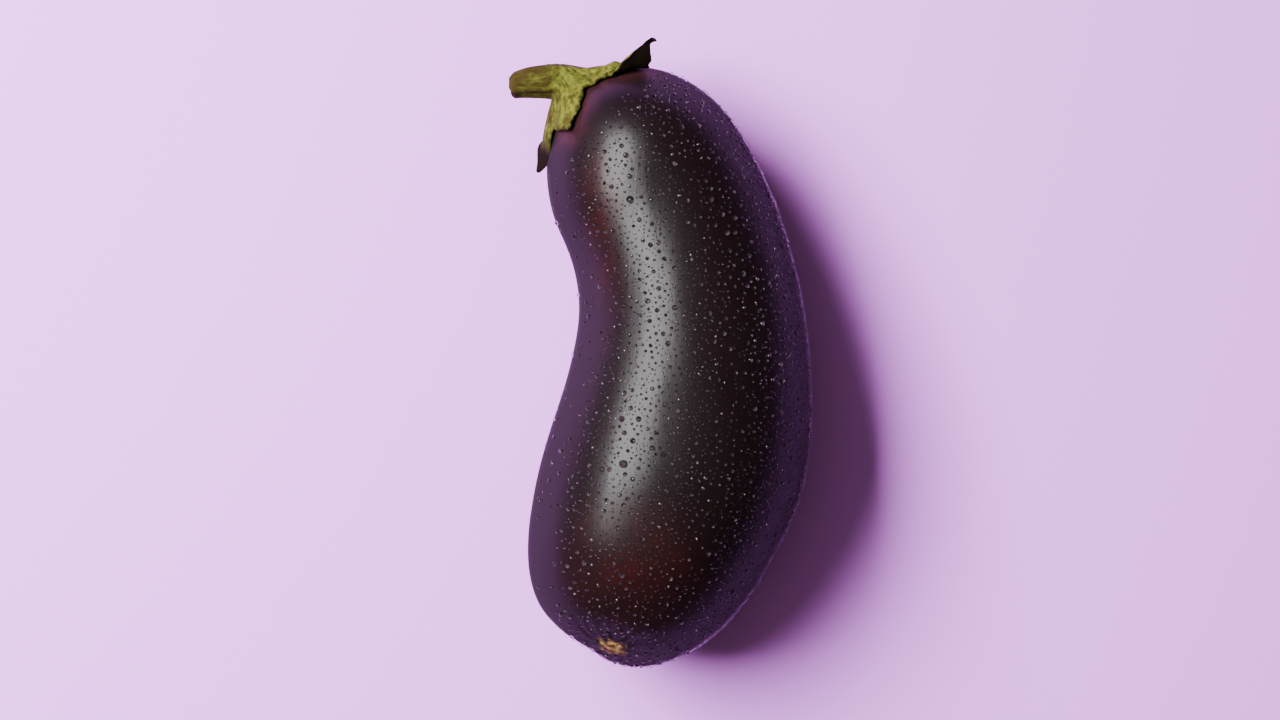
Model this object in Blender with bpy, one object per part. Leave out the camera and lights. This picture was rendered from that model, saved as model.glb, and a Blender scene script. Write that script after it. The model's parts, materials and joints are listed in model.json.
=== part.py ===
"""An eggplant with its calyx and cut stem, picked and lying on its side on a flat surface.

Units are metres and +Z is up. The origin is the middle of the footprint, on the surface. The fruit
lies along Y with its stem end at +Y, and curves so that its outer side faces +X.
"""

import math
from collections import namedtuple

import bmesh
import bpy
import numpy as np
from mathutils import Matrix, Vector

MM = 0.001

# Fruit. A spine runs through the flesh from the stem end to the blossom end, and each station gives
# a place on it and the radius of the fruit around it, in millimetres.
Station = namedtuple("Station", "x y z radius")
STATIONS = (
    Station(x=-27.6, y=88.6, z=34.6, radius=34.4),  # where the stem joins
    Station(x=-4.0, y=58.0, z=33.2, radius=35.0),  # shoulder
    Station(x=9.0, y=21.0, z=35.5, radius=37.3),  # neck
    Station(x=10.1, y=-6.0, z=38.4, radius=40.7),  # middle
    Station(x=6.7, y=-30.0, z=41.1, radius=43.3),  # belly
    Station(x=-0.6, y=-52.5, z=41.3, radius=42.6),  # lower belly
    Station(x=-7.6, y=-72.0, z=41.4, radius=39.8),  # where the blossom end rounds off
    Station(x=-19.6, y=-102.2, z=46.5, radius=37.5),  # blossom scar
)
STEM_CAP = 40.0  # length of the round end under the calyx
BLOSSOM_CAP = 43.0  # length of the round end at the blossom scar
BLOSSOM_FULLNESS = 2.15  # 2 is an ellipse, more is squarer
BLOSSOM_LEAN = 0.24  # fuller than that on the inner side, and less full on the outer side
HEIGHT_TO_WIDTH = 0.97  # flesh sags a little under its own weight
FLUTES = 5  # shallow lengthwise folds, which fade out below the shoulder
FLUTE_DEPTH = 0.45
FLUTE_TURN = math.radians(20)
FLUTE_FADE = 60.0

# Swells and hollows of the skin: distance along the spine, angle round it, height, and how far each
# spreads along and round the fruit, in millimetres.
Swell = namedtuple("Swell", "distance angle height along around")
SWELLS = (Swell(distance=170, angle=0, height=-1.6, along=20, around=44),)

# Blossom scar: a round corky spot near the tip, with a hollow in the skin beside it. Their places are
# distances from the end of the spine, towards angles round it.
SCAR_RADIUS = 5.0
SCAR_RISE = 0.5
SCAR_OFFSET = 15.0
SCAR_TOWARDS = math.radians(80)
HOLLOW_RADIUS = 12.0
HOLLOW_DEPTH = 3.6
HOLLOW_OFFSET = 14.0
HOLLOW_TOWARDS = math.radians(218)

FRUIT_SIDES = 48
STEM_CAP_RINGS = 8
BODY_RINGS = 20
BLOSSOM_CAP_RINGS = 12
BLOSSOM_CROWDING = 1.25  # rings lie closer together near the scar

# Calyx. Angles are round the fruit's stem end: 0 is its outer side, 90 its top, 180 its inner side.
# Lengths are along the skin from the stem's axis, in millimetres. Each sepal clasps the skin as far
# as a straight crease across it, square to the midrib or askew, and beyond that stands off the skin.
# The notch is the one between this sepal and the next. A taper of 1 gives straight sides, more hollow.
Sepal = namedtuple("Sepal", "angle length taper crease askew stands_off bend notch_angle notch")
SEPALS = (
    Sepal(44, 35.0, 2.0, crease=17.5, askew=36, stands_off=88, bend=3.2, notch_angle=60, notch=15.0),
    Sepal(72, 13.5, 1.1, crease=20.0, askew=0, stands_off=10, bend=10, notch_angle=84, notch=11.5),
    Sepal(120, 25.0, 1.1, crease=20.0, askew=0, stands_off=10, bend=10, notch_angle=148, notch=18.0),
    Sepal(180, 32.3, 1.1, crease=24.0, askew=0, stands_off=15, bend=18, notch_angle=216, notch=17.0),
    Sepal(252, 33.0, 1.1, crease=28.0, askew=0, stands_off=14, bend=20, notch_angle=288, notch=15.5),
    Sepal(324, 32.0, 1.1, crease=26.0, askew=0, stands_off=20, bend=18, notch_angle=0, notch=21.5),
)
SKIN_GAP = 0.4  # clear of the fruit, so that the two solids never overlap
CROWN_REACH = 7.5  # where the calyx rises into the stem
CROWN_LEAN = 1.5  # farther out than that on the inner side, towards which the stem bends
CROWN_THICKNESS = 3.3
MARGIN_THICKNESS = 0.9
THINNING = 2.2  # 1 thins the sepals evenly from crown to margin, more thins them sooner
RIB_HEIGHT = 0.6  # raised midrib of each sepal, which runs on up the stem
CALYX_SIDES = 90
OUTER_RINGS = 11
INNER_RINGS = 9

# Stem: its sections from the calyx to the cut. Turn is how far a section still faces away from the
# fruit, in degrees from the direction of the cut end.
Section = namedtuple("Section", "x y z radius turn")
STEM = (
    Section(x=-33.6, y=90.8, z=35.0, radius=6.3, turn=26),
    Section(x=-36.6, y=91.0, z=35.4, radius=5.9, turn=10),
    Section(x=-39.6, y=91.0, z=36.0, radius=5.5, turn=2),
    Section(x=-43.5, y=90.8, z=36.6, radius=5.0, turn=-1),
    Section(x=-47.2, y=90.3, z=36.9, radius=4.4, turn=-4),
    Section(x=-50.4, y=89.7, z=37.0, radius=3.8, turn=-6),
)
STEM_RINGS = 9
CUT_EDGE = 0.6  # rounding of the cut end

STEP = 0.05  # millimetres, for slopes found by difference


def natural_spline(rows):
    """A smooth curve through rows of numbers, as (length, function of the distance along it)."""
    values = np.array(rows, float)
    knots = np.concatenate([[0], np.cumsum(np.linalg.norm(np.diff(values[:, :3], axis=0), axis=1))])
    gaps = np.diff(knots)
    slopes = np.diff(values, axis=0) / gaps[:, None]
    system = np.eye(len(knots))
    target = np.zeros_like(values)
    for i in range(1, len(knots) - 1):
        system[i, i - 1 : i + 2] = gaps[i - 1], 2 * (gaps[i - 1] + gaps[i]), gaps[i]
        target[i] = 6 * (slopes[i] - slopes[i - 1])
    bends = np.linalg.solve(system, target)

    def at(distance):
        i = int(np.clip(np.searchsorted(knots, distance) - 1, 0, len(gaps) - 1))
        gap, before, after = gaps[i], distance - knots[i], knots[i + 1] - distance
        return (
            (bends[i] * after**3 + bends[i + 1] * before**3) / (6 * gap)
            + (values[i] / gap - bends[i] * gap / 6) * after
            + (values[i + 1] / gap - bends[i + 1] * gap / 6) * before
        )

    return knots[-1], at


SPINE_LENGTH, spine = natural_spline(STATIONS)
STEM_LENGTH, stem_axis = natural_spline(STEM)


def section_frame(distance):
    """Centre of the fruit's section here, and unit vectors towards its outer side and its top."""
    here, before, after = (Vector(spine(distance + d)[:3]) for d in (0, -STEP, STEP))
    along = (before - after).normalized()
    level = Vector((along.y, -along.x, 0)).normalized()
    return here, level, level.cross(along)


def round_end(distance, length, fullness=2.0):
    """Share of the full radius at this distance from the tip of a round end."""
    depth = min(distance / length, 1.0)
    return (1 - (1 - depth) ** fullness) ** (1 / fullness)


def skin_point(distance, angle):
    """Point on the fruit's skin, by distance along the spine and angle round it, before it lies flat."""
    distance = min(max(distance, 0.0), SPINE_LENGTH)
    to_scar = SPINE_LENGTH - distance
    centre, level, up = section_frame(distance)
    flute = FLUTE_DEPTH * math.cos(FLUTES * angle + FLUTE_TURN) * math.exp(-distance / FLUTE_FADE)
    radius = (spine(distance)[3] + flute) * round_end(distance, STEM_CAP)
    radius *= round_end(to_scar, BLOSSOM_CAP, BLOSSOM_FULLNESS - BLOSSOM_LEAN * math.cos(angle))
    side = level * math.cos(angle) + up * math.sin(angle) * HEIGHT_TO_WIDTH
    point = centre + side * (radius + sum(swelling(swell, distance, angle) for swell in SWELLS))
    if to_scar < BLOSSOM_CAP:
        inward = Vector(spine(distance - STEP)[:3]) - centre
        point += inward.normalized() * (hollow(radius, angle) - scar(radius, angle))
    return point


def swelling(swell, distance, angle):
    """Height that one swell adds to the skin here."""
    round_by = abs(math.remainder(angle - math.radians(swell.angle), math.tau)) * STATIONS[0].radius
    away = ((distance - swell.distance) / swell.along) ** 2 + (round_by / swell.around) ** 2
    return swell.height * math.exp(-away)


def apart(radius, angle, offset, towards):
    """Distance between two places near the tip, each by how far from the spine's end and which way."""
    return math.sqrt(radius**2 + offset**2 - 2 * radius * offset * math.cos(angle - towards))


def hollow(radius, angle):
    """Depth of the hollow beside the blossom scar."""
    away = apart(radius, angle, HOLLOW_OFFSET, HOLLOW_TOWARDS)
    return HOLLOW_DEPTH * math.exp(-((away / HOLLOW_RADIUS) ** 2))


def scar(radius, angle):
    """Height of the corky spot over the skin round it."""
    away = apart(radius, angle, SCAR_OFFSET, SCAR_TOWARDS)
    return SCAR_RISE * min(max(1.5 - away / SCAR_RADIUS, 0.0), 1.0)


def ring_distances():
    """Distances along the spine at which the fruit has a ring of points."""
    quarter = math.pi / 2
    stem_end = [
        STEM_CAP * (1 - math.cos(quarter * i / STEM_CAP_RINGS)) for i in range(1, STEM_CAP_RINGS + 1)
    ]
    blossom_end = [
        SPINE_LENGTH
        - BLOSSOM_CAP * (1 - math.cos(quarter * (i / BLOSSOM_CAP_RINGS) ** BLOSSOM_CROWDING))
        for i in range(BLOSSOM_CAP_RINGS, 0, -1)
    ]
    between = np.linspace(stem_end[-1], blossom_end[0], BODY_RINGS + 2)[1:-1]
    return [*stem_end, *between, *blossom_end]


def lying_flat(point):
    """The underside is pressed flat where the fruit rests."""
    return Vector((point.x, point.y, max(point.z, 0.0)))


def fruit_rings():
    angles = [math.tau * k / FRUIT_SIDES for k in range(FRUIT_SIDES)]
    rings = [[skin_point(0, 0)]]
    rings += [[lying_flat(skin_point(d, a)) for a in angles] for d in ring_distances()]
    return rings + [[skin_point(SPINE_LENGTH, 0)]]


def skin_under_calyx(reach, angle):
    """Skin at this arc length from the stem's axis, with unit vectors away from the axis and outwards."""

    def at(arc, turned=0.0):
        return skin_point(STEM_CAP * (1 - math.cos(arc / STATIONS[0].radius)), angle + turned)

    here = at(reach)
    away = (at(reach + STEP) - here).normalized()
    if reach == 0:
        return here, away, (Vector(spine(0)[:3]) - Vector(spine(STEP)[:3])).normalized()
    return here, away, (at(reach, turned=0.01) - here).cross(away).normalized()


def sepal_at(angle):
    """(sepal, notch beside it, 0 at the notch to 1 on its midrib) for an angle round the calyx."""
    for before, sepal in zip((SEPALS[-1], *SEPALS[:-1]), SEPALS):
        width = (sepal.notch_angle - before.notch_angle) % 360
        across = (math.degrees(angle) - before.notch_angle) % 360
        if across <= width:
            midrib = (sepal.angle - before.notch_angle) % 360
            if across <= midrib:
                return sepal, before.notch, across / midrib
            return sepal, sepal.notch, (width - across) / (width - midrib)
    return SEPALS[0], SEPALS[0].notch, 0.0


def calyx_margin(angle):
    sepal, notch, inwards = sepal_at(angle)
    return notch + (sepal.length - notch) * inwards**sepal.taper


def rib(angle):
    """Height of the midribs at this angle, as a share of the highest."""
    return sepal_at(angle)[2] ** 2


def past_crease(reach, angle, sepal):
    """How far a point lies past the sepal's crease, and the foot on it as reach, angle and direction."""
    faces = math.radians(sepal.angle + sepal.askew)
    past = reach * math.cos(angle - faces) - sepal.crease * math.cos(math.radians(sepal.askew))
    foot_x = reach * math.cos(angle) - past * math.cos(faces)
    foot_y = reach * math.sin(angle) - past * math.sin(faces)
    foot_angle = math.atan2(foot_y, foot_x)
    return past, math.hypot(foot_x, foot_y), foot_angle, faces - foot_angle


def calyx_sheet(reach, angle):
    """Inner face of the calyx, and its outward normal."""
    sepal = sepal_at(angle)[0]
    past, foot, foot_angle, off = past_crease(reach, angle, sepal)
    if past <= 0:
        here, _, out = skin_under_calyx(reach, angle)
    else:
        here, away, out = skin_under_calyx(foot, foot_angle)
        away = away * math.cos(off) + away.cross(out) * math.sin(off)
        turned = min(past / sepal.bend, math.radians(sepal.stands_off))
        here = here + (away * math.sin(turned) + out * (1 - math.cos(turned))) * sepal.bend
        straight = away * math.cos(turned) + out * math.sin(turned)
        here = here + straight * (past - sepal.bend * turned)
        out = out * math.cos(turned) - away * math.sin(turned)
    return here + out * SKIN_GAP, out


def calyx_outer(share, angle):
    """Outer face, from the crown of the calyx at share 0 to the margin at share 1."""
    crown = CROWN_REACH - CROWN_LEAN * math.cos(angle)
    face, out = calyx_sheet(crown + (calyx_margin(angle) - crown) * share, angle)
    thickness = MARGIN_THICKNESS + (CROWN_THICKNESS - MARGIN_THICKNESS) * (1 - share) ** THINNING
    return face + out * (thickness + RIB_HEIGHT * rib(angle) * (1 - share))


def stem_ring(distance, shrink=0.0):
    x, y, z, radius, turn = stem_axis(distance)
    level = Vector((math.sin(math.radians(turn)), math.cos(math.radians(turn)), 0))
    ring = []
    for k in range(CALYX_SIDES):
        angle = math.tau * k / CALYX_SIDES
        side = level * math.cos(angle) + Vector((0, 0, 1)) * math.sin(angle)
        ring.append(Vector((x, y, z)) + side * (radius + RIB_HEIGHT / 2 * rib(angle) - shrink))
    return ring


def calyx_rings():
    """From the middle of the cut stem, down its side, over the calyx and back along its inner face."""
    angles = [math.tau * k / CALYX_SIDES for k in range(CALYX_SIDES)]
    rings = [[Vector(stem_axis(STEM_LENGTH)[:3])]]
    rings.append(stem_ring(STEM_LENGTH, shrink=CUT_EDGE))
    rings += [stem_ring(d) for d in np.linspace(STEM_LENGTH - CUT_EDGE, 0, STEM_RINGS)]
    rings += [[calyx_outer(s, a) for a in angles] for s in np.linspace(0, 1, OUTER_RINGS)]
    for share in np.linspace(1, 0, INNER_RINGS + 1)[:-1]:
        rings.append([calyx_sheet(calyx_margin(a) * share, a)[0] for a in angles])
    return rings + [[calyx_sheet(0.0, 0.0)[0]]]


def closed_loft(name, rings, material):
    """A closed solid skinned over rings of points in millimetres. The first and last are one point."""
    mesh = bmesh.new()
    loops = [[mesh.verts.new(point * MM) for point in ring] for ring in rings]
    for one, two in zip(loops, loops[1:]):
        sides = max(len(one), len(two))
        for k in range(sides):
            corners = [
                one[k % len(one)],
                one[(k + 1) % len(one)],
                two[(k + 1) % len(two)],
                two[k % len(two)],
            ]
            mesh.faces.new(dict.fromkeys(corners))
    data = bpy.data.meshes.new(name)
    mesh.to_mesh(data)
    mesh.free()
    data.shade_smooth()
    data.set_sharp_from_angle(angle=math.radians(50))
    data.materials.append(material)
    piece = bpy.data.objects.new(name, data)
    bpy.context.scene.collection.objects.link(piece)
    return piece


def centre_footprint(pieces):
    """Moves the pieces together, level, until the middle of the box round them is over the origin."""
    points = [v.co for piece in pieces for v in piece.data.vertices]
    middle = [(max(p[i] for p in points) + min(p[i] for p in points)) / 2 for i in (0, 1)]
    for piece in pieces:
        piece.data.transform(Matrix.Translation((-middle[0], -middle[1], 0)))


def plain_material(name, colour, roughness):
    material = bpy.data.materials.new(name)
    material.use_nodes = True
    shader = material.node_tree.nodes["Principled BSDF"]
    shader.inputs["Base Color"].default_value = (*colour, 1)
    shader.inputs["Roughness"].default_value = roughness
    shader.inputs["Metallic"].default_value = 0
    return material


def main():
    for old in list(bpy.data.objects):
        bpy.data.objects.remove(old)
    skin = plain_material("glossy_skin", colour=(0.016, 0.006, 0.012), roughness=0.25)
    green = plain_material("green_calyx", colour=(0.16, 0.15, 0.03), roughness=0.7)
    fruit = closed_loft("fruit", fruit_rings(), skin)
    calyx = closed_loft("calyx_with_stem", calyx_rings(), green)
    centre_footprint([fruit, calyx])


main()
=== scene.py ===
"""The looks of a wet eggplant, picked with its calyx and lying on its side on a pale table.

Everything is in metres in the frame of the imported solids: +Z is up, the stem end is at +Y, and the
outer side of the fruit's curve faces +X. The script runs from top to bottom.
"""

import json
import math

import bpy
import numpy as np
from mathutils import Matrix, Vector, noise
from mathutils.bvhtree import BVHTree
from mathutils.kdtree import KDTree

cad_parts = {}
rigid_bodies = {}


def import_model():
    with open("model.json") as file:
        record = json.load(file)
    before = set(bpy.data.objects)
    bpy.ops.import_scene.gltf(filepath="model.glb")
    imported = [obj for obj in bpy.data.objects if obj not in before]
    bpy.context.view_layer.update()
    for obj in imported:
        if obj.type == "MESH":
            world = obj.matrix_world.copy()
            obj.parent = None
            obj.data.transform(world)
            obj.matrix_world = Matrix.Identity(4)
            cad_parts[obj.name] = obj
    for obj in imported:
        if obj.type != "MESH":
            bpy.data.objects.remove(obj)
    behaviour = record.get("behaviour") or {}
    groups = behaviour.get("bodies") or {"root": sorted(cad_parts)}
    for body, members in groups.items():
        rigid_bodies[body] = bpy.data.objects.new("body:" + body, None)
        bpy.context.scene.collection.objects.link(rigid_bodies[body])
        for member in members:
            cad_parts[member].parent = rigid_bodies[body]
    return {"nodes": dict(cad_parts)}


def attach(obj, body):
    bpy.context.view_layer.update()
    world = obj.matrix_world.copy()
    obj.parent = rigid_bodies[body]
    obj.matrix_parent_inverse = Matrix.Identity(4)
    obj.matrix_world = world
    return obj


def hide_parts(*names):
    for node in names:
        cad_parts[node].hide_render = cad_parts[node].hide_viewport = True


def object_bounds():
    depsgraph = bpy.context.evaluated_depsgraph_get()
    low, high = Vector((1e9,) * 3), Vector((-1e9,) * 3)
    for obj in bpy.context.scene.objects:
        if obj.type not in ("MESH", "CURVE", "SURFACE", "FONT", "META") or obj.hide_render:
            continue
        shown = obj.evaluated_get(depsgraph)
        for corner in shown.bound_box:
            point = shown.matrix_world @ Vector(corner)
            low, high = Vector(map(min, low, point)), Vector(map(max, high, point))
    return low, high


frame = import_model()
cad_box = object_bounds()

# The fruit. Its rind is a smooth, waxy skin grown tight over spongy flesh, so it bulges and folds a
# little, lengthwise. Beside the calyx, which shaded it, it is paler. At the far tip is the blossom
# scar, a dry corky spot in puckered skin.
MM = 0.001
RIND_SINK = 0.25 * MM  # the rind lies this far inside the solid, which leaves room for water on it
CREST_SINK = 0.6 * MM  # and this much farther along its top, where the solid touches its box
CREST_START = 78 * MM
CREST_TOP = 83.5 * MM
RESTING_HEIGHT = 4 * MM  # above this the skin has its full relief, which fades out down to the table
SWELL_HEIGHT = 0.30 * MM
SWELL_WIDTH = 26 * MM
FOLD_HEIGHT = 0.11 * MM
FOLD_WIDTH = 7 * MM
FOLD_LENGTH = 70 * MM
SCAR_MIDDLE = Vector((-16.9, -98.3, 58.9)) * MM
SCAR_RADIUS = 5.0 * MM
PUCKERS = 13
PUCKER_DEPTH = 0.55 * MM
PUCKER_REACH = 22 * MM
PUCKER_WAVER = 0.35  # how far the folds wander round the scar, in radians
PUCKER_WAVER_WIDTH = 6 * MM
DISH_DEPTH = 1.2 * MM  # the skin round the scar is drawn in as a shallow dish, with a lip round it
DISH_REACH = 19 * MM
STALK_START = 33.0 * MM  # how far out along -X the stalk leaves the calyx
SHADE_START = 1 * MM  # the pale skin beside the sepals, by its distance from them
SHADE_END = 9 * MM


def own_copy(node, name):
    """A new piece with the shape of a solid, its triangles merged into quads."""
    data = frame["nodes"][node].data.copy()
    data.materials.clear()
    piece = bpy.data.objects.new(name, data)
    bpy.context.scene.collection.objects.link(piece)
    bpy.ops.object.select_all(action="DESELECT")
    piece.select_set(True)
    bpy.context.view_layer.objects.active = piece
    if data.has_custom_normals:
        bpy.ops.mesh.customdata_custom_splitnormals_clear()
    bpy.ops.object.mode_set(mode="EDIT")
    bpy.ops.mesh.select_all(action="SELECT")
    bpy.ops.mesh.remove_doubles(threshold=0.002 * MM)
    bpy.ops.mesh.tris_convert_to_quads()
    bpy.ops.object.mode_set(mode="OBJECT")
    return piece


def round_off(piece, levels):
    """Subdivides the piece that is selected, and smooths it."""
    rounded = piece.modifiers.new("rounding", "SUBSURF")
    rounded.levels = rounded.render_levels = levels
    bpy.ops.object.modifier_apply(modifier=rounded.name)
    bpy.ops.object.shade_smooth()


def smooth_step(value, low, high):
    """Goes from 0 at low to 1 at high, and levels off at both."""
    share = min(max((value - low) / (high - low), 0.0), 1.0)
    return share * share * (3 - 2 * share)


def puckering(place):
    """How far the skin is drawn in here, by the dish round the blossom scar and the folds in it."""
    out = place - SCAR_MIDDLE
    near = 1 - smooth_step(out.length, SCAR_RADIUS, PUCKER_REACH)
    off = smooth_step(out.length, 0.5 * SCAR_RADIUS, 1.2 * SCAR_RADIUS)
    round_by = math.atan2(out.z, out.x) + PUCKER_WAVER * noise.noise(place / PUCKER_WAVER_WIDTH)
    dish = DISH_DEPTH * (1 - smooth_step(out.length, SCAR_RADIUS, DISH_REACH))
    return dish + PUCKER_DEPTH * near * off * (0.5 + 0.5 * math.cos(PUCKERS * round_by))


rind = own_copy("fruit", "fruit_rind")
round_off(rind, levels=2)
sepals = KDTree(len(frame["nodes"]["calyx_with_stem"].data.vertices))
for vertex in frame["nodes"]["calyx_with_stem"].data.vertices:
    if vertex.co.x > -STALK_START:
        sepals.insert(vertex.co, vertex.index)
sepals.balance()
normals = [normal.vector.copy() for normal in rind.data.vertex_normals]
shade = []
for vertex, normal in zip(rind.data.vertices, normals):
    here = vertex.co.copy()
    shade.append(1 - smooth_step(sepals.find(here)[2], SHADE_START, SHADE_END))
    along = Vector((here.x / FOLD_WIDTH, here.y / FOLD_LENGTH, here.z / FOLD_WIDTH))
    rise = SWELL_HEIGHT * noise.noise(here / SWELL_WIDTH) + FOLD_HEIGHT * noise.noise(along)
    off_table = smooth_step(here.z, 0, RESTING_HEIGHT)
    sink = RIND_SINK + CREST_SINK * smooth_step(here.z, CREST_START, CREST_TOP)
    vertex.co = here + normal * ((rise - sink) * off_table - puckering(here))
rind.data.attributes.new("shade", "FLOAT", "POINT").data.foreach_set("value", shade)


def srgb(code):
    """Linear colour of an sRGB hex code."""
    parts = [int(code[i : i + 2], 16) / 255 for i in (1, 3, 5)]
    return (*(p / 12.92 if p <= 0.04045 else ((p + 0.055) / 1.055) ** 2.4 for p in parts), 1.0)


def new_surface(piece, name):
    """Gives a piece a new material, and returns its node tree and its shader."""
    material = bpy.data.materials.new(name)
    material.use_nodes = True
    piece.data.materials.append(material)
    return material.node_tree, material.node_tree.nodes["Principled BSDF"]


def add(tree, kind, inputs, **settings):
    """Adds a node. A socket among its inputs is linked, and any other input is set.

    A Mix node's inputs go by number: 0 is its factor, 2 and 3 are numbers, and 6 and 7 are colours.
    """
    node = tree.nodes.new("ShaderNode" + kind)
    for name, value in settings.items():
        setattr(node, name, value)
    for name, value in inputs.items():
        if isinstance(value, bpy.types.NodeSocket):
            tree.links.new(value, node.inputs[name])
        else:
            node.inputs[name].default_value = value
    return node


# Waxy eggplant rind: a clear cuticle (IOR about 1.45) over purple-black cells. The wax scatters a
# lamp's reflection into a wide soft band, and rows of cells along the fruit make the band faintly
# streaky. Towards the sides a bloom of loose wax makes the skin duller still. Where the pigment is
# thin, on the inner side and at the blossom end, the skin is a deep red.
RIND_BLACK = srgb("#0E0709")
RIND_RED = srgb("#25090A")
RIND_SHADED = srgb("#290F13")
CORK = srgb("#8A6C3E")
CORK_DARK = srgb("#33200F")
CLOUD_WIDTH = 14 * MM  # the red comes and goes in clouds of this width
BLUSH_WIDTH = 4 * MM  # and the pale skin beside the calyx in smaller ones
CORK_GRAIN = 2.2 * MM
CORK_WANDER = 7 * MM  # the grain moves the edge of the cork by this, which makes it ragged
CORK_START = 7.2 * MM
CORK_END = 9.8 * MM
CELL_WIDTH = 0.8 * MM  # the real rows are finer than 0.1 mm, and are drawn as coarse as shows
CELL_LENGTH = 9 * MM
tree, shader = new_surface(rind, "waxy_eggplant_rind")
place = add(tree, "TexCoord", {}).outputs["Object"]


def within(middle, reach, peak):
    """Socket that is at its peak near a place, and 0 farther off than its reach along each axis."""
    scale = [1 / part for part in reach]
    start = [-at / part for at, part in zip(middle, reach)]
    local = add(tree, "Mapping", {"Vector": place, "Location": start, "Scale": scale})
    away = add(tree, "VectorMath", {0: local.outputs["Vector"]}, operation="LENGTH")
    near = {"Value": away.outputs["Value"], "From Min": 0.2, "From Max": 1, "To Min": peak, "To Max": 0}
    return add(tree, "MapRange", near, interpolation_type="SMOOTHSTEP").outputs["Result"]


inner_side = within(Vector((-22, 40, 70)) * MM, Vector((14, 50, 22)) * MM, 1.0)
blossom_end = within(Vector((-10, -68, 76)) * MM, Vector((32, 30, 40)) * MM, 0.6)
thin_skin = add(tree, "Math", {0: inner_side, 1: blossom_end}, operation="MAXIMUM").outputs["Value"]
clouds = add(tree, "TexNoise", {"Vector": place, "Scale": 1 / CLOUD_WIDTH, "Detail": 4})
mottled = add(
    tree,
    "MapRange",
    {"Value": clouds.outputs["Fac"], "From Min": 0.35, "From Max": 0.65, "To Min": 0.3},
)
redness = add(tree, "Math", {0: thin_skin, 1: mottled.outputs["Result"]}, operation="MULTIPLY")
colour = add(
    tree, "Mix", {0: redness.outputs["Value"], 6: RIND_BLACK, 7: RIND_RED}, data_type="RGBA"
)
shade = add(tree, "Attribute", {}, attribute_name="shade").outputs["Fac"]
blotches = add(
    tree, "TexNoise", {"Vector": place, "Scale": 1 / BLUSH_WIDTH, "Detail": 5, "Roughness": 0.6}
)
blush = add(
    tree,
    "MapRange",
    {"Value": blotches.outputs["Fac"], "From Min": 0.35, "From Max": 0.62, "To Min": 0.25},
)
shaded = add(tree, "Math", {0: shade, 1: blush.outputs["Result"]}, operation="MULTIPLY")
colour = add(
    tree,
    "Mix",
    {0: shaded.outputs["Value"], 6: colour.outputs[2], 7: RIND_SHADED},
    data_type="RGBA",
)
from_scar = add(tree, "VectorMath", {0: place, 1: SCAR_MIDDLE}, operation="DISTANCE")
cork_grain = add(
    tree, "TexNoise", {"Vector": place, "Scale": 1 / CORK_GRAIN, "Detail": 5, "Roughness": 0.65}
)
ragged = add(
    tree,
    "Math",
    {0: cork_grain.outputs["Fac"], 1: CORK_WANDER, 2: from_scar.outputs["Value"]},
    operation="MULTIPLY_ADD",
)
corky = add(
    tree,
    "MapRange",
    {
        "Value": ragged.outputs["Value"],
        "From Min": CORK_START,
        "From Max": CORK_END,
        "To Min": 1,
        "To Max": 0,
    },
).outputs["Result"]
pale_crust = add(
    tree, "MapRange", {"Value": cork_grain.outputs["Fac"], "From Min": 0.58, "From Max": 0.4}
)
crust = add(
    tree, "Mix", {0: pale_crust.outputs["Result"], 6: CORK_DARK, 7: CORK}, data_type="RGBA"
)
colour = add(
    tree, "Mix", {0: corky, 6: colour.outputs[2], 7: crust.outputs[2]}, data_type="RGBA"
)
tree.links.new(colour.outputs[2], shader.inputs["Base Color"])
cell_scale = (1 / CELL_WIDTH, 1 / CELL_LENGTH, 1 / CELL_WIDTH)
cell_place = add(tree, "Mapping", {"Vector": place, "Scale": cell_scale})
cells = add(tree, "TexNoise", {"Vector": cell_place.outputs["Vector"], "Scale": 1, "Detail": 3})
wax = add(tree, "MapRange", {"Value": cells.outputs["Fac"], "To Min": 0.27, "To Max": 0.36})
facing = add(tree, "SeparateXYZ", {"Vector": add(tree, "TexCoord", {}).outputs["Normal"]})
bloom = add(
    tree,
    "MapRange",
    {
        "Value": facing.outputs["Z"],
        "From Min": 0.3,
        "From Max": 0.78,
        "To Min": 0.44,
        "To Max": 0,
    },
)
dulled = add(tree, "Math", {0: wax.outputs["Result"], 1: bloom.outputs["Result"]}, operation="ADD")
matt = add(tree, "Mix", {0: corky, 2: dulled.outputs["Value"], 3: 0.85})
tree.links.new(matt.outputs[0], shader.inputs["Roughness"])
relief = add(tree, "Bump", {"Height": cells.outputs["Fac"], "Strength": 0.5, "Distance": 0.07 * MM})
tree.links.new(relief.outputs["Normal"], shader.inputs["Normal"])
shader.inputs["IOR"].default_value = 1.45
shader.inputs["Specular IOR Level"].default_value = 0.14  # the bloom on the wax dulls its shine
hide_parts("fruit")
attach(rind, "root")

# The calyx and the cut stem, grown as one: a green, felted cap of six pointed sepals that clasp the
# fruit's shoulder, and a ribbed woody stalk. The sepals have dried since picking, so their edges are
# ragged, the upper one stands up off the fruit with its tip hooked over, and their lining is brown,
# darkened nearly to black as painted shade for the shade it lies in.
CALYX_MIDDLE = Vector((-28.0, 88.5, 34.6)) * MM
CALYX_LEVEL = Vector((0.79, 0.61, 0.0)).normalized()  # level, and square to the calyx's axis
STALK_MIDDLE = Vector((-42.0, 90.4, 36.2)) * MM
STALK_FULL = 39.0 * MM  # from here outwards the ribs go round the stalk, and not round the calyx
RIBS = 2.6  # how many ribs wide half of the calyx is
RIB_HEIGHT = 0.5 * MM
RIB_LENGTH = 18 * MM
WAVE_HEIGHT = 0.7 * MM
WAVE_WIDTH = 7 * MM
WAVE_START = 10 * MM  # how far from the calyx's middle its sepals start to buckle, and do so fully
WAVE_FULL = 24 * MM
RAGGED_BY = 0.7 * MM
RAGGED_WIDTH = 2.0 * MM
RAGGED_REACH = 2.5 * MM
RAGGED_SEED = 7  # without one, the noise that frays the edges would start from the clock
INNER_SEPAL = 0.7  # the sepal on the inner side of the fruit points against CALYX_LEVEL by this
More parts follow.
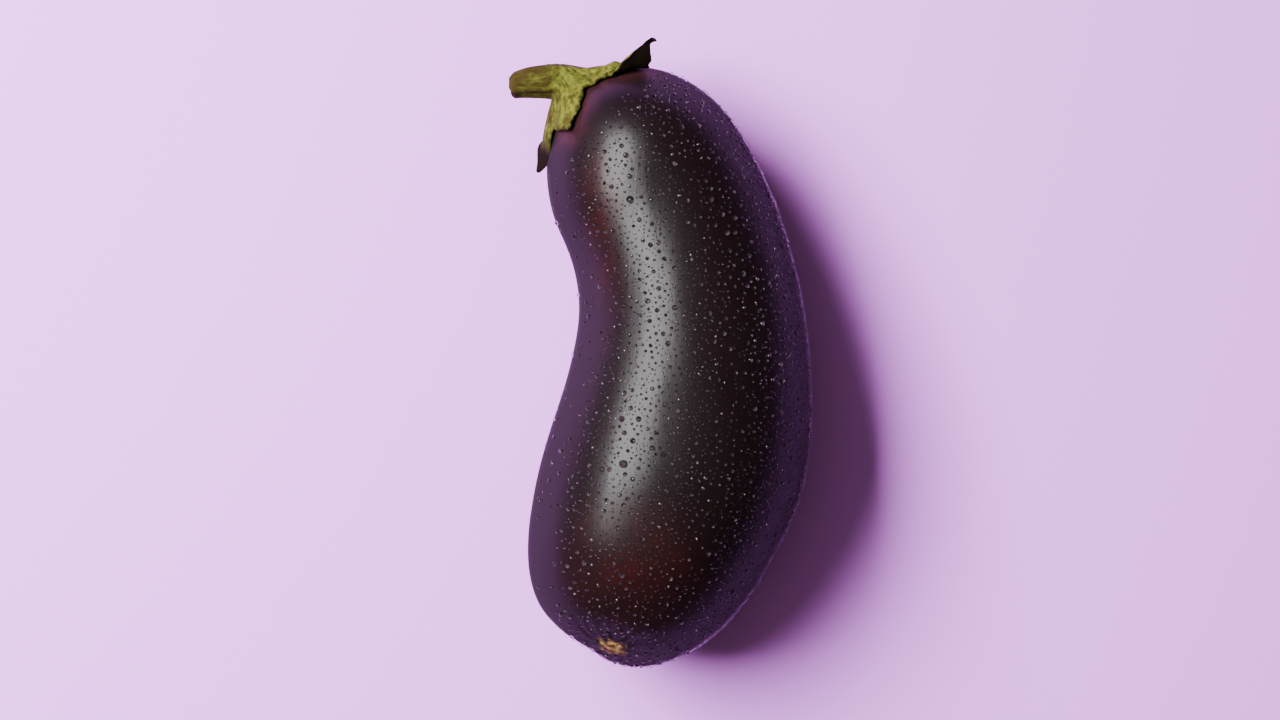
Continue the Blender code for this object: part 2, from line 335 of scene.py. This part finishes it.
INNER_MIDRIB = 0.9
CURL_START = 19 * MM  # it twists over from here to its tip
CURL_END = 31 * MM
CURL = math.radians(62)
SHRIVELLED = 0.4  # and narrows by this share
CUT_END = -50.5 * MM  # the cut end of the stalk, worn round
CUT_MIDDLE = Vector((0, 89.7, 37)) * MM
WORN = 2.0 * MM
WORN_SHARE = 0.5
HOOK_START = Vector((-4.2, 102.3)) * MM  # the raised sepal's tip bends over from here, towards +X
HOOK_LENGTH = 4.2 * MM
HOOK_BEND = 1.3 * MM
HOOK_TURN = math.radians(100)
BUMP_MIDDLE = Vector((-15.2, 95.5, 43.6)) * MM  # a knob beside it
BUMP_HEIGHT = 1.5 * MM
BUMP_WIDTH = 2.4 * MM
SKIN_CLEARANCE = 0.12 * MM
DRY_MARGIN = 1.2 * MM  # how wide the dried edges are
DRY_START = 25 * MM  # how far from the calyx's middle the sepals' dried tips start
DRY_START_INNER = 18.5 * MM  # and that of the sepal that twists over
DRY_FADE = 6 * MM
DRY_WANDER = 1.6 * MM
DRY_WANDER_WIDTH = 2.5 * MM

calyx = own_copy("calyx_with_stem", "calyx_and_stem")
tree, shader = new_surface(calyx, "felted_green_calyx")
# the lining's near-black browns are painted shade
lining_tree, lining_shader = new_surface(calyx, "sepal_lining_in_painted_shade")
bpy.ops.object.mode_set(mode="EDIT")
bpy.ops.mesh.select_mode(type="EDGE")
bpy.ops.mesh.select_all(action="DESELECT")
bpy.ops.mesh.edges_select_sharp(sharpness=math.radians(55))
bpy.ops.mesh.mark_seam()
bpy.ops.object.mode_set(mode="OBJECT")
margin = KDTree(len(calyx.data.vertices))
for vertex in calyx.data.vertices:
    if vertex.select and vertex.co.x > -STALK_START:
        margin.insert(vertex.co, vertex.index)
margin.balance()
under_stalk = min(calyx.data.polygons, key=lambda face: (face.center - CALYX_MIDDLE).length)
for part in (calyx.data.vertices, calyx.data.edges, calyx.data.polygons):
    part.foreach_set("select", [False] * len(part))
under_stalk.select = True
bpy.ops.object.mode_set(mode="EDIT")
bpy.ops.mesh.select_mode(type="FACE")
bpy.ops.mesh.select_linked(delimit={"SEAM"})
calyx.active_material_index = 1
bpy.ops.object.material_slot_assign()
bpy.ops.object.mode_set(mode="OBJECT")
round_off(calyx, levels=2)


def round_calyx(place):
    """Unit direction round the calyx, or round the stalk beyond it, and how far out from its middle."""
    out = place - CALYX_MIDDLE
    on_calyx = Vector((out.dot(CALYX_LEVEL), out.z)).normalized()
    on_stalk = Vector((place.y - STALK_MIDDLE.y, place.z - STALK_MIDDLE.z)).normalized()
    return on_calyx.lerp(on_stalk, smooth_step(-place.x, STALK_START, STALK_FULL)), out.length


def curled(place, turn, far):
    """The inner sepal's tip twists over its midrib as it dries."""
    share = smooth_step(far, CURL_START, CURL_END) * smooth_step(-turn.x, INNER_SEPAL, INNER_MIDRIB)
    side = Vector((0, 0, (place - CALYX_MIDDLE).z))
    twist = Matrix.Rotation(CURL * share, 3, CALYX_LEVEL)
    return place - side + twist @ side * (1 - SHRIVELLED * share)


def worn_end(place):
    """The stalk's cut edge, rounded by wear."""
    into = max(0.0, 1 - (place.x - CUT_END) / WORN)
    off_axis = Vector((0, place.y - CUT_MIDDLE.y, place.z - CUT_MIDDLE.z))
    return place - off_axis * (1 - math.sqrt(1 - WORN_SHARE * min(into, 1.0) ** 2))


def hooked(place, tip):
    """The raised sepal's tip, drawn out and bent over."""
    if place.y <= HOOK_START.y:
        return place
    along = (place.y - HOOK_START.y) / (tip - HOOK_START.y) * HOOK_LENGTH
    turned = min(along / HOOK_BEND, HOOK_TURN)
    straight = along - turned * HOOK_BEND
    across = place.x - HOOK_START.x
    over, ahead = math.sin(turned), math.cos(turned)
    x = HOOK_START.x + HOOK_BEND * (1 - ahead) + straight * over + across * ahead
    y = HOOK_START.y + HOOK_BEND * over + straight * ahead - across * over
    return Vector((x, y, place.z))


lining = np.zeros(len(calyx.data.vertices), bool)
for face in calyx.data.polygons:
    if face.material_index == 1:
        lining[list(face.vertices)] = True
skin = BVHTree.FromPolygons([v.co for v in rind.data.vertices], [f.vertices for f in rind.data.polygons])
normals = [normal.vector.copy() for normal in calyx.data.vertex_normals]
flap_tip = max(vertex.co.y for vertex in calyx.data.vertices)
noise.seed_set(RAGGED_SEED)
grain = np.zeros((len(calyx.data.vertices), 3))
dryness = np.zeros(len(calyx.data.vertices))
for vertex, normal in zip(calyx.data.vertices, normals):
    here = vertex.co.copy()
    turn, far = round_calyx(here)
    out = -normal if lining[vertex.index] else normal
    _, _, from_margin = margin.find(here)
    near_margin = 1 - smooth_step(from_margin, 0, RAGGED_REACH)
    rib = noise.noise(Vector((turn.x * RIBS, turn.y * RIBS, far / RIB_LENGTH)))
    if not lining[vertex.index]:
        vertex.co += normal * RIB_HEIGHT * rib * (1 - 0.5 * near_margin)
    wave = noise.noise(here / WAVE_WIDTH) * smooth_step(far, WAVE_START, WAVE_FULL)
    vertex.co += out * WAVE_HEIGHT * wave
    vertex.co += noise.noise_vector(here / RAGGED_WIDTH) * RAGGED_BY * near_margin
    if not lining[vertex.index]:
        from_bump = (here - BUMP_MIDDLE).length / BUMP_WIDTH
        vertex.co += normal * BUMP_HEIGHT * math.exp(-(from_bump**2))
    vertex.co = hooked(curled(worn_end(vertex.co), turn, far), flap_tip)
    vertex.co.x = max(vertex.co.x, cad_box[0][0])
    on_skin, skin_normal, _, _ = skin.find_nearest(vertex.co)
    height = (vertex.co - on_skin).dot(skin_normal)
    if height < SKIN_CLEARANCE:
        vertex.co = on_skin + skin_normal * SKIN_CLEARANCE
    grain[vertex.index] = (turn.x * 10, turn.y * 10, far / MM)
    ragged_far = far + DRY_WANDER * noise.noise(here / DRY_WANDER_WIDTH)
    dry_start = DRY_START_INNER if -turn.x > INNER_SEPAL else DRY_START
    dry_tip = smooth_step(ragged_far, dry_start, dry_start + DRY_FADE)
    dryness[vertex.index] = max(0.85 * (1 - smooth_step(from_margin, 0, DRY_MARGIN)), dry_tip)
calyx.data.attributes.new("grain", "FLOAT_VECTOR", "POINT").data.foreach_set("vector", grain.ravel())
calyx.data.attributes.new("dryness", "FLOAT", "POINT").data.foreach_set("value", dryness)

# Felted calyx and stalk: dull green bark under a felt of short hairs, which leaves it without a
# shine. It is streaked along its fibres, brown where it was rubbed and along the woody stalk, and
# nearly black where edges and tips have dried.
FELT_GREEN = srgb("#272A09")
FELT_PALE = srgb("#595A1F")
FELT_BROWN = srgb("#2B200D")
FELT_DRY = srgb("#100705")
FELT_TUFT = 2.2 * MM  # hairs are finer than shows, so the felt is mottled in tufts of this width
RUBBED_WIDTH = 6 * MM
WOODY_FULL = -50 * MM  # the stalk browns outwards, from the calyx's end of it to its cut end
WOODY_START = -26 * MM
place = add(tree, "TexCoord", {}).outputs["Object"]
fibre = add(tree, "Attribute", {}, attribute_name="grain").outputs["Vector"]
dry = add(tree, "Attribute", {}, attribute_name="dryness").outputs["Fac"]
fibre_place = add(tree, "Mapping", {"Vector": fibre, "Scale": (0.9, 0.9, 0.16)}).outputs["Vector"]
fibres = add(tree, "TexNoise", {"Vector": fibre_place, "Scale": 1, "Detail": 5, "Roughness": 0.65})
tufts = add(
    tree, "TexNoise", {"Vector": place, "Scale": 1 / FELT_TUFT, "Detail": 4, "Roughness": 0.7}
)
streaked = add(tree, "Math", {0: fibres.outputs["Fac"], 1: tufts.outputs["Fac"]}, operation="ADD")
pale = add(
    tree, "MapRange", {"Value": streaked.outputs["Value"], "From Min": 0.84, "From Max": 1.2}
)
colour = add(tree, "Mix", {0: pale.outputs["Result"], 6: FELT_GREEN, 7: FELT_PALE}, data_type="RGBA")
patches = add(
    tree, "TexNoise", {"Vector": place, "Scale": 1 / RUBBED_WIDTH, "Detail": 4, "Roughness": 0.6}
)
outwards = add(tree, "SeparateXYZ", {"Vector": place}).outputs["X"]
woody = add(
    tree,
    "MapRange",
    {
        "Value": outwards,
        "From Min": WOODY_FULL,
        "From Max": WOODY_START,
        "To Min": 0.36,
        "To Max": -0.06,
    },
)
browned = add(tree, "Math", {0: patches.outputs["Fac"], 1: woody.outputs["Result"]}, operation="ADD")
rubbed = add(
    tree,
    "MapRange",
    {"Value": browned.outputs["Value"], "From Min": 0.5, "From Max": 0.8, "To Max": 0.85},
)
colour = add(
    tree, "Mix", {0: rubbed.outputs["Result"], 6: colour.outputs[2], 7: FELT_BROWN}, data_type="RGBA"
)
colour = add(tree, "Mix", {0: dry, 6: colour.outputs[2], 7: FELT_DRY}, data_type="RGBA")
tree.links.new(colour.outputs[2], shader.inputs["Base Color"])
relief = add(tree, "Bump", {"Height": fibres.outputs["Fac"], "Strength": 0.6, "Distance": 0.3 * MM})
tree.links.new(relief.outputs["Normal"], shader.inputs["Normal"])
shader.inputs["Roughness"].default_value = 0.85
shader.inputs["Specular IOR Level"].default_value = 0.04

# Dried lining of the sepals: thin brown skin, which is nearly matt, with its fibres showing through
# as darker lines. Both browns are darkened nearly to black: that is painted shade, for the shade the
# lining lies in on the raised sepal and on the tip that twists over.
LINING_BROWN_IN_PAINTED_SHADE = srgb("#120B07")
LINING_DARK_IN_PAINTED_SHADE = srgb("#080503")
fibre = add(lining_tree, "Attribute", {}, attribute_name="grain").outputs["Vector"]
fibre_place = add(lining_tree, "Mapping", {"Vector": fibre, "Scale": (1.3, 1.3, 0.2)})
fibres = add(
    lining_tree, "TexNoise", {"Vector": fibre_place.outputs["Vector"], "Scale": 1, "Detail": 4}
).outputs["Fac"]
colour = add(lining_tree, "Mix", {0: fibres, 6: LINING_DARK_IN_PAINTED_SHADE, 7: LINING_BROWN_IN_PAINTED_SHADE}, data_type="RGBA")
lining_tree.links.new(colour.outputs[2], lining_shader.inputs["Base Color"])
relief = add(lining_tree, "Bump", {"Height": fibres, "Strength": 0.5, "Distance": 0.2 * MM})
lining_tree.links.new(relief.outputs["Normal"], lining_shader.inputs["Normal"])
lining_shader.inputs["Roughness"].default_value = 0.6
lining_shader.inputs["Specular IOR Level"].default_value = 0.03
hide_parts("calyx_with_stem")
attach(calyx, "root")

# Water on the skin, as beads that stand up on the wax. Each is a dome that bulges a little down the
# slope, and its foot stands just over the skin. The large ones are where the spray has run together,
# and the finest are mist.
LARGE_BEADS = (
    # seen from above, across and along the fruit, and diameter, in millimetres
    (-11.6, 64.5, 1.9), (-13.0, 67.6, 1.6), (-4.6, 60.0, 1.8), (-10.4, 57.6, 1.7), (-16.3, 54.3, 1.6),
    (-10.2, 50.0, 2.6), (0.8, 43.3, 1.8), (-3.2, 42.0, 1.5), (-7.2, 43.4, 1.6), (-3.6, 35.2, 1.7),
    (0.9, 30.6, 1.6), (4.2, 27.6, 1.6), (-0.9, 21.0, 1.7), (-4.5, 16.9, 1.9), (4.2, 14.7, 1.8),
    (7.2, 12.0, 1.8), (-3.9, 10.4, 1.5), (2.0, 3.1, 1.8), (19.9, 45.2, 1.5), (10.7, 41.6, 1.4),
    (5.8, 38.6, 1.3), (22.2, 33.4, 1.4), (14.0, 26.9, 1.5), (12.7, 22.3, 1.5), (15.6, 12.8, 1.6),
    (16.9, 3.6, 1.5), (4.2, 61.7, 1.7), (3.2, 67.2, 1.4), (-12.9, -21.2, 2.1), (-7.4, -21.2, 1.9),
    (-10.0, -17.7, 1.7), (-9.3, -28.1, 1.9), (-1.8, -25.5, 1.6), (-3.1, -30.4, 1.8), (0.4, -32.4, 1.7),
    (-12.3, -35.6, 2.8), (-9.3, -40.4, 1.6), (1.4, -44.2, 1.7), (-13.5, -45.5, 1.6), (-7.0, -46.2, 1.5),
    (-16.8, -37.4, 1.5), (-32.6, -32.0, 2.0), (-12.8, -71.5, 2.0),
)
SPRAY = 9000  # how many beads are tried, of which those with room round them are kept
FINE_SPRAY = 3600
MIST = 6500
BEAD_LIFT = 0.03 * MM  # how far a drop's foot stands over the skin
BEAD_OVAL = 0.14
BEAD_SAG = 0.3  # how far its top leans down the slope, as a share of its radius
BEAD_HEIGHT = 0.9  # as a share of its radius
SPRAY_SHELTER = (26 * MM, 38 * MM)  # the spray starts and is full so far from the calyx's middle
MIST_SHELTER = (24 * MM, 34 * MM)  # and so does the mist
SCAR_SHELTER = (4 * MM, 10 * MM)  # the cork soaks up what falls on it
THIN_SPRAY = (-75 * MM, -45 * MM)  # the spray thins out here, towards the blossom end
BUCKET = 3 * MM  # the drops placed so far are kept by cubes of this size
water_seed = np.random.default_rng(11)


def drop_shape(segments, rings):
    """Points and faces of a dome of radius 1, and which face is its foot.

    Blender lists a sphere's faces in another order each time, so they are sorted here, and each
    starts from its first point.
    """
    bpy.ops.mesh.primitive_uv_sphere_add(segments=segments, ring_count=rings, radius=1)
    dome = bpy.context.object
    bpy.ops.object.mode_set(mode="EDIT")
    bpy.ops.mesh.select_all(action="SELECT")
    bpy.ops.mesh.bisect(plane_co=(0, 0, 0), plane_no=(0, 0, 1), clear_inner=True, use_fill=True)
    bpy.ops.mesh.select_all(action="SELECT")
    bpy.ops.mesh.normals_make_consistent(inside=False)
    bpy.ops.object.mode_set(mode="OBJECT")
    points = np.array([vertex.co for vertex in dome.data.vertices])
    listed = []
    for face in dome.data.polygons:
        corners = tuple(face.vertices)
        first = corners.index(min(corners))
        listed.append((corners[first:] + corners[:first], int(face.normal.z < -0.9)))
    listed.sort()
    bpy.data.objects.remove(dome)
    return points, [corners for corners, _ in listed], [foot for _, foot in listed]


def scatter(count, wetness):
    """Random places on the skin, as a point and a normal each, denser where wetness is higher."""
    rind.data.calc_loop_triangles()
    triangles = rind.data.loop_triangles
    corners = np.array([vertex.co for vertex in rind.data.vertices])[[t.vertices for t in triangles]]
    facing = np.array([t.normal for t in triangles])
    areas = np.array([t.area for t in triangles])
    weights = areas * wetness(corners.mean(1), facing)
    chosen = water_seed.choice(len(areas), count, p=weights / weights.sum())
    first, second = water_seed.random((2, count, 1))
    past = first + second > 1
    first, second = np.where(past, 1 - first, first), np.where(past, 1 - second, second)
    spots = corners[chosen]
    spots = spots[:, 0] + first * (spots[:, 1] - spots[:, 0]) + second * (spots[:, 2] - spots[:, 0])
    return list(zip(map(Vector, spots), map(Vector, facing[chosen])))


def ramp(values, low, high):
    """smooth_step of a whole array."""
    share = np.clip((values - low) / (high - low), 0, 1)
    return share * share * (3 - 2 * share)


def distance_to(middle, places):
    """How far each place is from a middle."""
    return np.linalg.norm(places - np.array(middle), axis=1)


def sprayed(places, facing):
    """Spray fell from above and from the inner side. None is held by the calyx or on the scar."""
    clear = ramp(distance_to(CALYX_MIDDLE, places), *SPRAY_SHELTER)
    clear *= ramp(distance_to(SCAR_MIDDLE, places), *SCAR_SHELTER)
    clear *= 0.35 + 0.65 * ramp(places[:, 1], *THIN_SPRAY)
    inner = ramp(facing[:, 0], -0.8, -0.35) * (1 - 0.85 * ramp(facing[:, 0], -0.05, 0.3))
    return ramp(facing[:, 2], -0.3, 0.4) * (0.02 + inner) * clear


def misted(places, facing):
    """Mist clings all over, and most of all on the outer side and low on the blossom end."""
    outer = ramp(facing[:, 0] - 0.45 * facing[:, 1], 0.35, 0.9)
    clear = ramp(distance_to(CALYX_MIDDLE, places), *MIST_SHELTER)
    clear *= ramp(distance_to(SCAR_MIDDLE, places), *SCAR_SHELTER)
    return ramp(facing[:, 2], -0.7, 0.1) * (0.1 * ramp(facing[:, 0], -0.8, -0.2) + 3.0 * outer) * clear


def room_over(spot, normal):
    """How far from the skin a drop may reach, so that it stays within the solids' box."""
    reach = [
        ((high if part > 0 else low) - at) / part
        for low, high, at, part in zip(cad_box[0], cad_box[1], spot, normal)
        if abs(part) > 0.05
    ]
    return min(reach)


taken = {}


def has_room(spot, radius, gap):
    """Whether a drop stands a gap away from those already placed. If so, its place is taken."""
    cell = tuple(int(math.floor(part / BUCKET)) for part in spot)
    steps = [(x, y, z) for x in (-1, 0, 1) for y in (-1, 0, 1) for z in (-1, 0, 1)]
    for step in steps:
        for other, size in taken.get(tuple(a + b for a, b in zip(cell, step)), ()):
            if (other - spot).length < radius + size + gap:
                return False
    taken.setdefault(cell, []).append((spot, radius))
    return True


def water(name, shape, drops):
    """One piece of many drops, each given by its spot, normal and radius."""
    points, faces, feet = shape
    all_points, all_faces = [], []
    for spot, normal, radius in drops:
        height = min(BEAD_HEIGHT * radius, room_over(spot, normal))
        side = normal.orthogonal().normalized()
        side.rotate(Matrix.Rotation(water_seed.random() * math.tau, 3, normal))
        other = normal.cross(side)
        oval = 1 + BEAD_OVAL * (water_seed.random() - 0.5)
        slope = Vector((0, 0, -1)) + normal * normal.z
        start = len(all_points) * len(points)
        placed = np.outer(points[:, 0] * radius * oval, side)
        placed += np.outer(points[:, 1] * radius / oval, other)
        placed += np.outer(points[:, 2] * height + BEAD_LIFT, normal)
        placed += np.outer(np.clip(points[:, 2], 0, 1) * radius * BEAD_SAG, slope) + np.array(spot)
        all_points.append(np.clip(placed, cad_box[0], cad_box[1]))
        all_faces += [tuple(start + corner for corner in face) for face in faces]
    data = bpy.data.meshes.new(name)
    data.from_pydata(np.concatenate(all_points), [], all_faces)
    data.polygons.foreach_set("material_index", feet * len(drops))
    data.shade_smooth()
    piece = bpy.data.objects.new(name, data)
    bpy.context.scene.collection.objects.link(piece)
    return piece


large = []
for across, along, diameter in LARGE_BEADS:
    above = Vector((across, along, 1000)) * MM
    spot, normal, _, _ = skin.ray_cast(above, Vector((0, 0, -1)))
    if spot is not None and has_room(spot, diameter / 2 * MM, 0.1 * MM):
        large.append((spot, normal, diameter / 2 * MM))
beads = []
for spot, normal in scatter(SPRAY, sprayed):
    radius = min(max(0.50 * math.exp(0.28 * water_seed.standard_normal()), 0.3), 0.9) * MM
    if has_room(spot, radius, 0.9 * MM):
        beads.append((spot, normal, radius))
droplets = []
for spot, normal in scatter(FINE_SPRAY, sprayed):
    radius = water_seed.uniform(0.18, 0.34) * MM
    if has_room(spot, radius, 0.3 * MM):
        droplets.append((spot, normal, radius))
mist = []
for spot, normal in scatter(MIST, misted):
    radius = water_seed.uniform(0.16, 0.46) * MM
    if has_room(spot, radius, 0.2 * MM):
        mist.append((spot, normal, radius))

# Clear water (IOR 1.333), held in round drops by its surface, so each shows a small bright image of
# the lamp, and that image is held down here, because the lamp is far brighter than a room. Wetted
# rind is what shows through each drop: skin with its gloss drowned, darkest under the thickest drops.
# Its grey, lighter than the bare rind, is painted light: the glow of the light that the drops
# scatter.
WATER_MIRROR = (0.2, 0.2, 0.2, 1)
for name, shape, drops, wet_foot_and_painted_glow in (
    ("large_beads", drop_shape(20, 12), large, "#2E262B"),
    ("beads", drop_shape(10, 6), beads, "#2E262B"),
    ("droplets", drop_shape(8, 4), droplets, "#362E34"),
    ("mist", drop_shape(6, 4), mist, "#2E2836"),
):
    piece = water(name, shape, drops)
    _, shader = new_surface(piece, "clear_water")
    shader.inputs["Base Color"].default_value = (1, 1, 1, 1)
    shader.inputs["Roughness"].default_value = 0.04
    shader.inputs["IOR"].default_value = 1.333
    shader.inputs["Specular Tint"].default_value = WATER_MIRROR
    shader.inputs["Transmission Weight"].default_value = 1.0
    # the foot's grey is painted light, the glow of light scattered in the drop
    _, shader = new_surface(piece, "drowned_rind_and_painted_glow")
    shader.inputs["Base Color"].default_value = srgb(wet_foot_and_painted_glow)
    shader.inputs["Roughness"].default_value = 0.5
    shader.inputs["Specular IOR Level"].default_value = 0.0
    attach(piece, "root")

# The table, a smooth board in pale lilac matt paint, which spreads the light evenly.
TABLE_COLOUR = srgb("#CE76E6")
TABLE_SIZE = 6.0
bpy.ops.mesh.primitive_plane_add(size=TABLE_SIZE, location=(0, 0, 0))
table = bpy.context.object
table.name = "table"
_, shader = new_surface(table, "painted_board")
shader.inputs["Base Color"].default_value = TABLE_COLOUR
shader.inputs["Roughness"].default_value = 0.8

# The light: a softbox high on the inner side of the fruit, turned so that one corner is lowest, and a
# faint panel overhead. The room round them gives a faint warm light from all sides.
LIGHT_TARGET = Vector((0, 0, 0.05))
ROOM_COLOUR = srgb("#FFEFC8")
ROOM_STRENGTH = 0.08
for name, towards, roll, distance, width, height, energy in (
    ("softbox", (-0.590, 0.280, 0.757), 24, 1.2, 0.96, 0.57, 88),
    ("ceiling_panel", (-0.10, 0.10, 1.0), 0, 1.6, 1.3, 1.3, 3.5),
):
    lamp_data = bpy.data.lights.new(name, "AREA")
    lamp_data.shape = "RECTANGLE"
    lamp_data.size = width
    lamp_data.size_y = height
    lamp_data.energy = energy
    lamp = bpy.data.objects.new(name, lamp_data)
    towards = Vector(towards).normalized()
    lamp.location = LIGHT_TARGET + towards * distance
    facing = towards.to_track_quat("Z", "Y").to_matrix() @ Matrix.Rotation(math.radians(roll), 3, "Z")
    lamp.rotation_euler = facing.to_euler()
    bpy.context.scene.collection.objects.link(lamp)
world = bpy.data.worlds.new("studio")
world.use_nodes = True
world.node_tree.nodes["Background"].inputs["Color"].default_value = ROOM_COLOUR
world.node_tree.nodes["Background"].inputs["Strength"].default_value = ROOM_STRENGTH
bpy.context.scene.world = world

# The camera, which looks straight down from 1.1 m, on a 36 mm wide frame.
CAMERA_PLACE = Vector((-7.0, -2.2, 1100)) * MM
camera_data = bpy.data.cameras.new("camera")
camera_data.sensor_width = 36
camera_data.lens = 89.4
camera_data.clip_start = 0.01
camera = bpy.data.objects.new("camera", camera_data)
camera.location = CAMERA_PLACE
bpy.context.scene.collection.objects.link(camera)
bpy.context.scene.camera = camera
